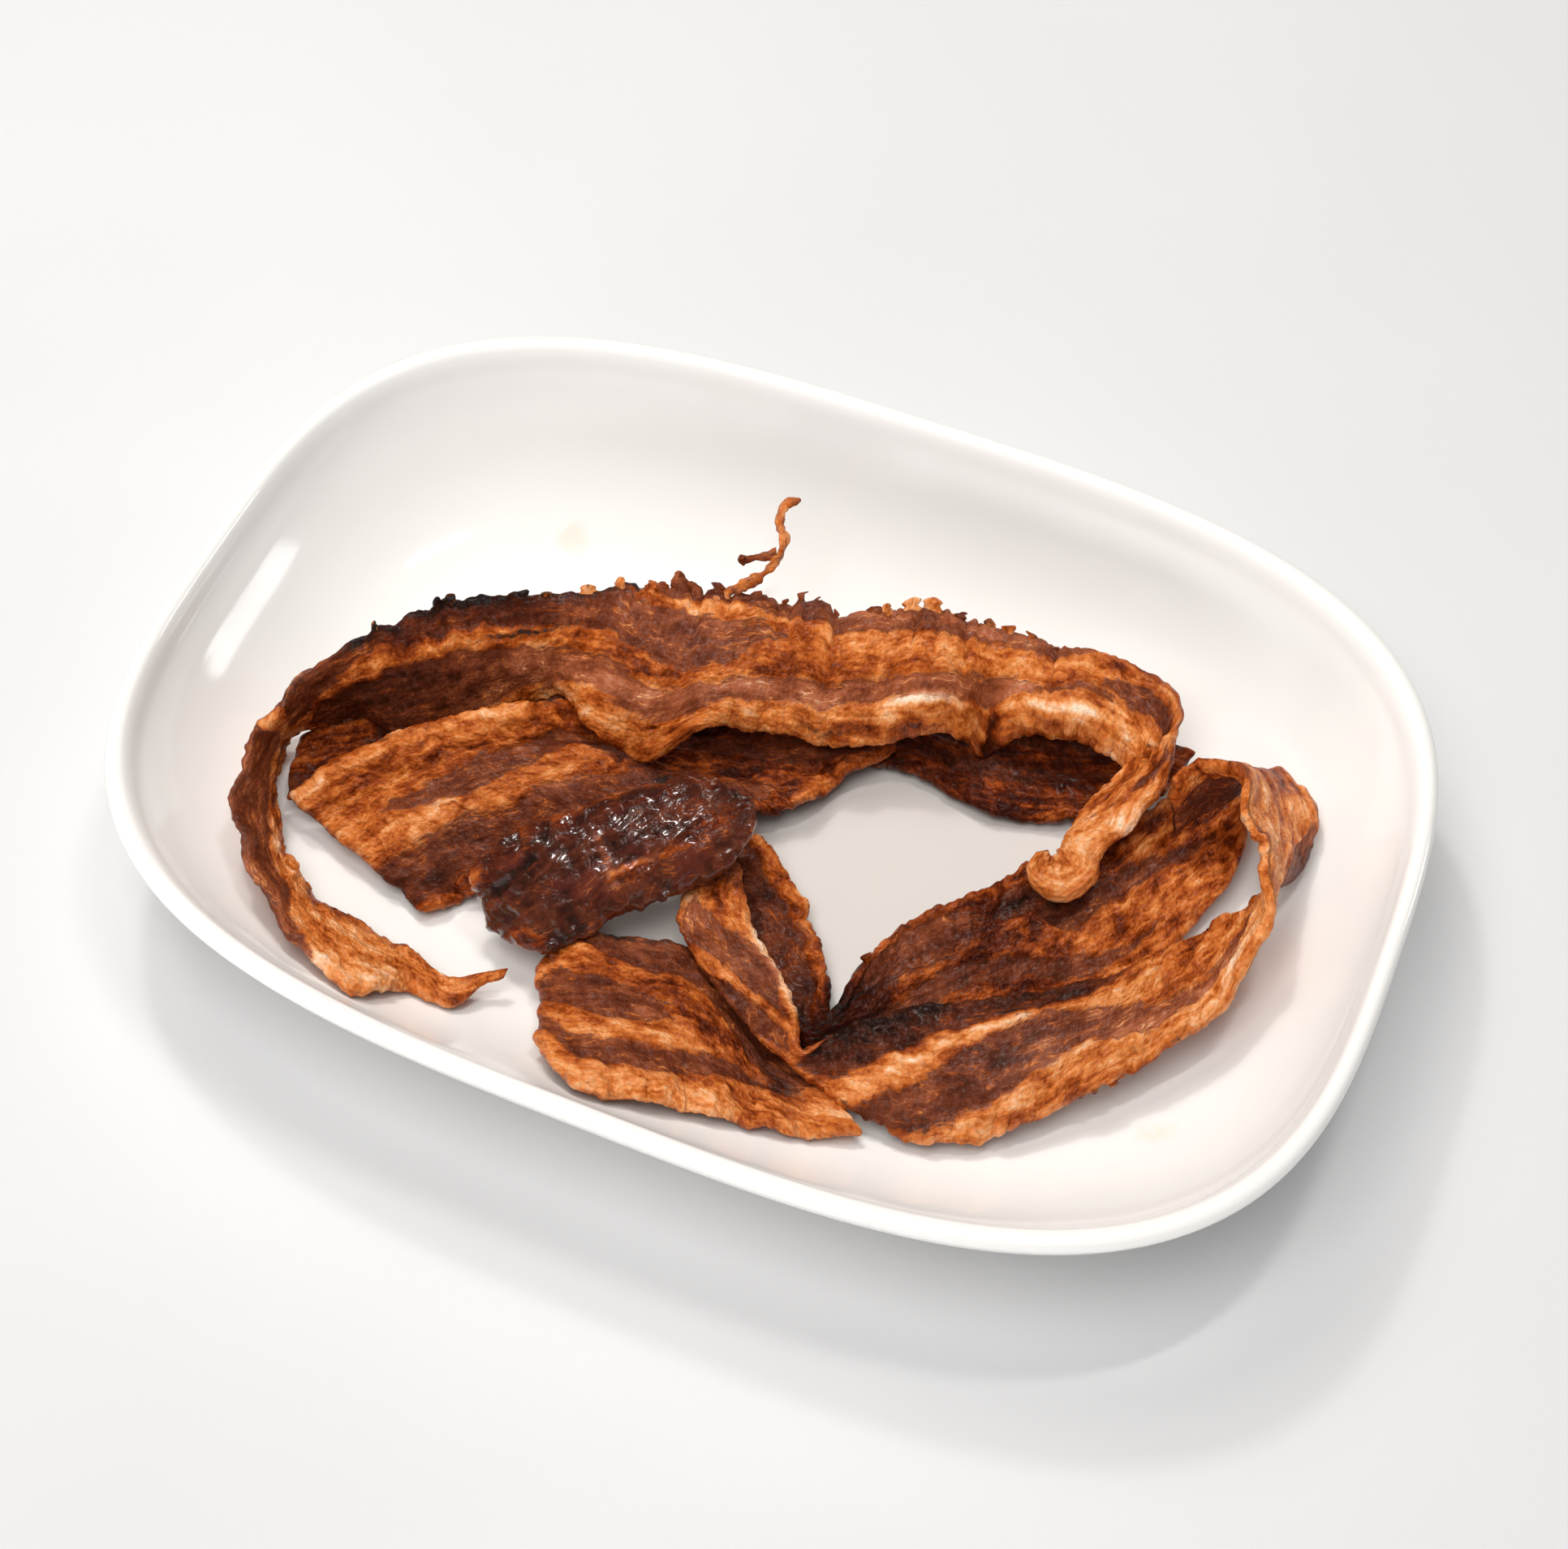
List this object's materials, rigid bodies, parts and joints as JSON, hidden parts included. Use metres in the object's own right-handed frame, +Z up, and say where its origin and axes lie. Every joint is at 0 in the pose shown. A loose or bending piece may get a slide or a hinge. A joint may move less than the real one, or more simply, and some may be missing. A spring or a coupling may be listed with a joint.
{
  "type": "fried bacon strips in a serving dish",
  "caption": "Crisp fried strips of streaky bacon lying curled and folded in a white, rounded rectangular porcelain serving dish.",
  "frame": {"origin": "the middle of the dish's foot, at table height", "axes": "+X along the dish's length, +Y towards its far long side, +Z up"},
  "size_m": [0.26, 0.1842, 0.037],
  "materials": {
    "porcelain": "white glaze",
    "bacon": "fried, with fat and lean streaks",
    "bacon_dark": "dark and glossy with fat"
  },
  "bodies": {
    "root": {"dish": "porcelain", "strip_long": "bacon", "strip_middle": "bacon", "strip_glazed": "bacon_dark", "strip_front": "bacon", "strip_looped": "bacon", "strip_back": "bacon_dark", "strip_under": "bacon_dark"}
  },
  "joints": []
}
